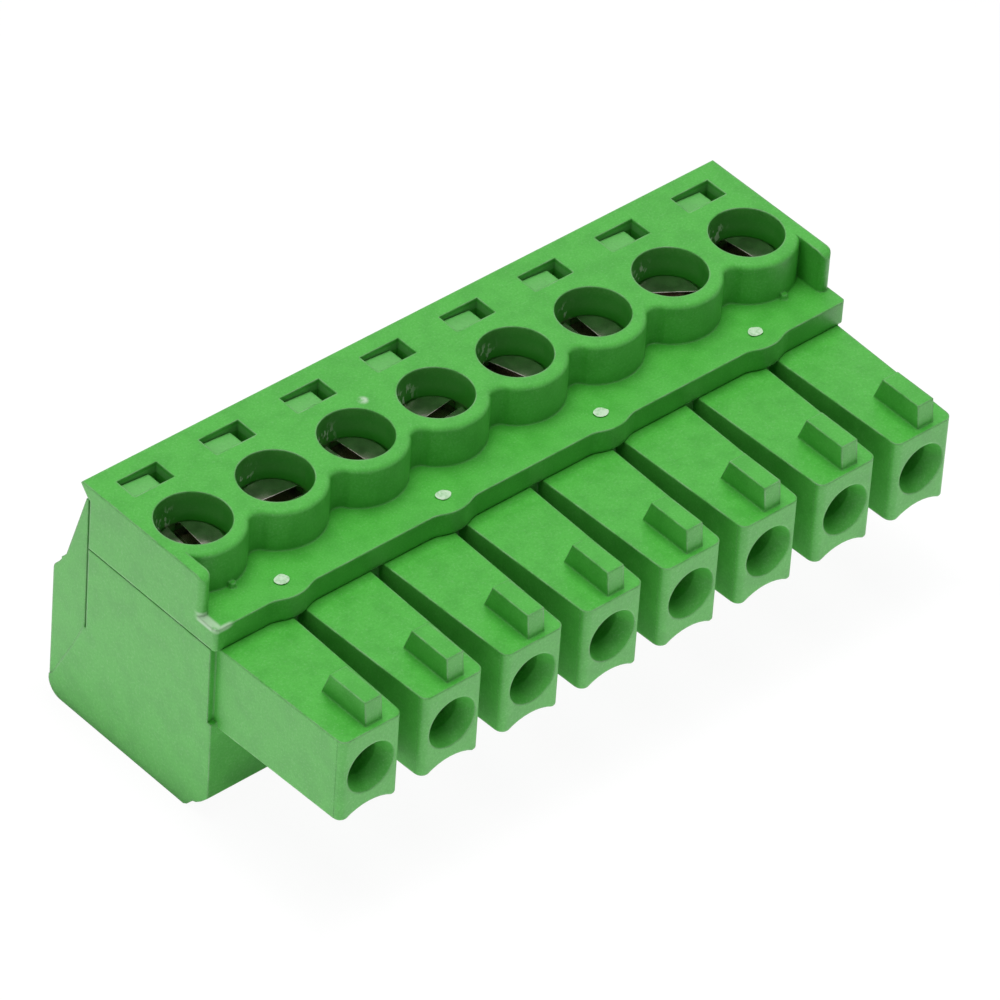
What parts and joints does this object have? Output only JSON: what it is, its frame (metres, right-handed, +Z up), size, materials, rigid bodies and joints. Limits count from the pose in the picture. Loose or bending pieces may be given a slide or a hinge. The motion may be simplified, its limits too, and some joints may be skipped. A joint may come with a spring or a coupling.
{
  "type": "pluggable terminal block",
  "caption": "Pluggable screw terminal block: a two-part moulding with slotted screws in wells on top, tapered socket fingers at the front and wire funnels behind.",
  "frame": {"origin": "middle of the outline seen from above, on the flat underside", "axes": "+Z up, X along the row of poles, -Y towards the finger tips, +Y towards the wire entries"},
  "size_m": [0.0304, 0.0156, 0.0111],
  "materials": {
    "green_plastic": "satin moulded polyamide",
    "screw_steel": "zinc plated, tarnished",
    "cage_steel": "nickel plated",
    "tinned_contact": "tin plated copper alloy"
  },
  "bodies": {
    "block": {"housing": "green_plastic", "cover": "green_plastic", "contact_1": "tinned_contact", "contact_2": "tinned_contact", "contact_3": "tinned_contact", "contact_4": "tinned_contact", "contact_5": "tinned_contact", "contact_6": "tinned_contact", "contact_7": "tinned_contact", "contact_8": "tinned_contact"},
    "screw_body_1": {"screw_1": "screw_steel"},
    "cage_body_1": {"cage_1": "cage_steel"},
    "screw_body_2": {"screw_2": "screw_steel"},
    "cage_body_2": {"cage_2": "cage_steel"},
    "screw_body_3": {"screw_3": "screw_steel"},
    "cage_body_3": {"cage_3": "cage_steel"},
    "screw_body_4": {"screw_4": "screw_steel"},
    "cage_body_4": {"cage_4": "cage_steel"},
    "screw_body_5": {"screw_5": "screw_steel"},
    "cage_body_5": {"cage_5": "cage_steel"},
    "screw_body_6": {"screw_6": "screw_steel"},
    "cage_body_6": {"cage_6": "cage_steel"},
    "screw_body_7": {"screw_7": "screw_steel"},
    "cage_body_7": {"cage_7": "cage_steel"},
    "screw_body_8": {"screw_8": "screw_steel"},
    "cage_body_8": {"cage_8": "cage_steel"}
  },
  "joints": [
    {"name": "screw_turn_1", "type": "hinge", "parent": "block", "child": "screw_body_1", "pos_m": [-0.01333, 0.00229, 0.007], "axis": [0, 0, -1], "range_deg": [0, 1800.5]},
    {"name": "cage_lift_1", "type": "slide", "parent": "block", "child": "cage_body_1", "axis": [0, 0, 1], "range_m": [0, 0.002]},
    {"name": "screw_turn_2", "type": "hinge", "parent": "block", "child": "screw_body_2", "pos_m": [-0.00953, 0.00229, 0.007], "axis": [0, 0, -1], "range_deg": [0, 1800.5]},
    {"name": "cage_lift_2", "type": "slide", "parent": "block", "child": "cage_body_2", "axis": [0, 0, 1], "range_m": [0, 0.002]},
    {"name": "screw_turn_3", "type": "hinge", "parent": "block", "child": "screw_body_3", "pos_m": [-0.00571, 0.00229, 0.007], "axis": [0, 0, -1], "range_deg": [0, 1800.5]},
    {"name": "cage_lift_3", "type": "slide", "parent": "block", "child": "cage_body_3", "axis": [0, 0, 1], "range_m": [0, 0.002]},
    {"name": "screw_turn_4", "type": "hinge", "parent": "block", "child": "screw_body_4", "pos_m": [-0.00191, 0.00229, 0.007], "axis": [0, 0, -1], "range_deg": [0, 1800.5]},
    {"name": "cage_lift_4", "type": "slide", "parent": "block", "child": "cage_body_4", "axis": [0, 0, 1], "range_m": [0, 0.002]},
    {"name": "screw_turn_5", "type": "hinge", "parent": "block", "child": "screw_body_5", "pos_m": [0.00191, 0.00229, 0.007], "axis": [0, 0, -1], "range_deg": [0, 1800.5]},
    {"name": "cage_lift_5", "type": "slide", "parent": "block", "child": "cage_body_5", "axis": [0, 0, 1], "range_m": [0, 0.002]},
    {"name": "screw_turn_6", "type": "hinge", "parent": "block", "child": "screw_body_6", "pos_m": [0.00571, 0.00229, 0.007], "axis": [0, 0, -1], "range_deg": [0, 1800.5]},
    {"name": "cage_lift_6", "type": "slide", "parent": "block", "child": "cage_body_6", "axis": [0, 0, 1], "range_m": [0, 0.002]},
    {"name": "screw_turn_7", "type": "hinge", "parent": "block", "child": "screw_body_7", "pos_m": [0.00953, 0.00229, 0.007], "axis": [0, 0, -1], "range_deg": [0, 1800.5]},
    {"name": "cage_lift_7", "type": "slide", "parent": "block", "child": "cage_body_7", "axis": [0, 0, 1], "range_m": [0, 0.002]},
    {"name": "screw_turn_8", "type": "hinge", "parent": "block", "child": "screw_body_8", "pos_m": [0.01333, 0.00229, 0.007], "axis": [0, 0, -1], "range_deg": [0, 1800.5]},
    {"name": "cage_lift_8", "type": "slide", "parent": "block", "child": "cage_body_8", "axis": [0, 0, 1], "range_m": [0, 0.002]}
  ],
  "couplings": [
    {"joint": "screw_turn_1", "follows": "cage_lift_1", "rad_per_m": 15708},
    {"joint": "screw_turn_2", "follows": "cage_lift_2", "rad_per_m": 15708},
    {"joint": "screw_turn_3", "follows": "cage_lift_3", "rad_per_m": 15708},
    {"joint": "screw_turn_4", "follows": "cage_lift_4", "rad_per_m": 15708},
    {"joint": "screw_turn_5", "follows": "cage_lift_5", "rad_per_m": 15708},
    {"joint": "screw_turn_6", "follows": "cage_lift_6", "rad_per_m": 15708},
    {"joint": "screw_turn_7", "follows": "cage_lift_7", "rad_per_m": 15708},
    {"joint": "screw_turn_8", "follows": "cage_lift_8", "rad_per_m": 15708}
  ]
}
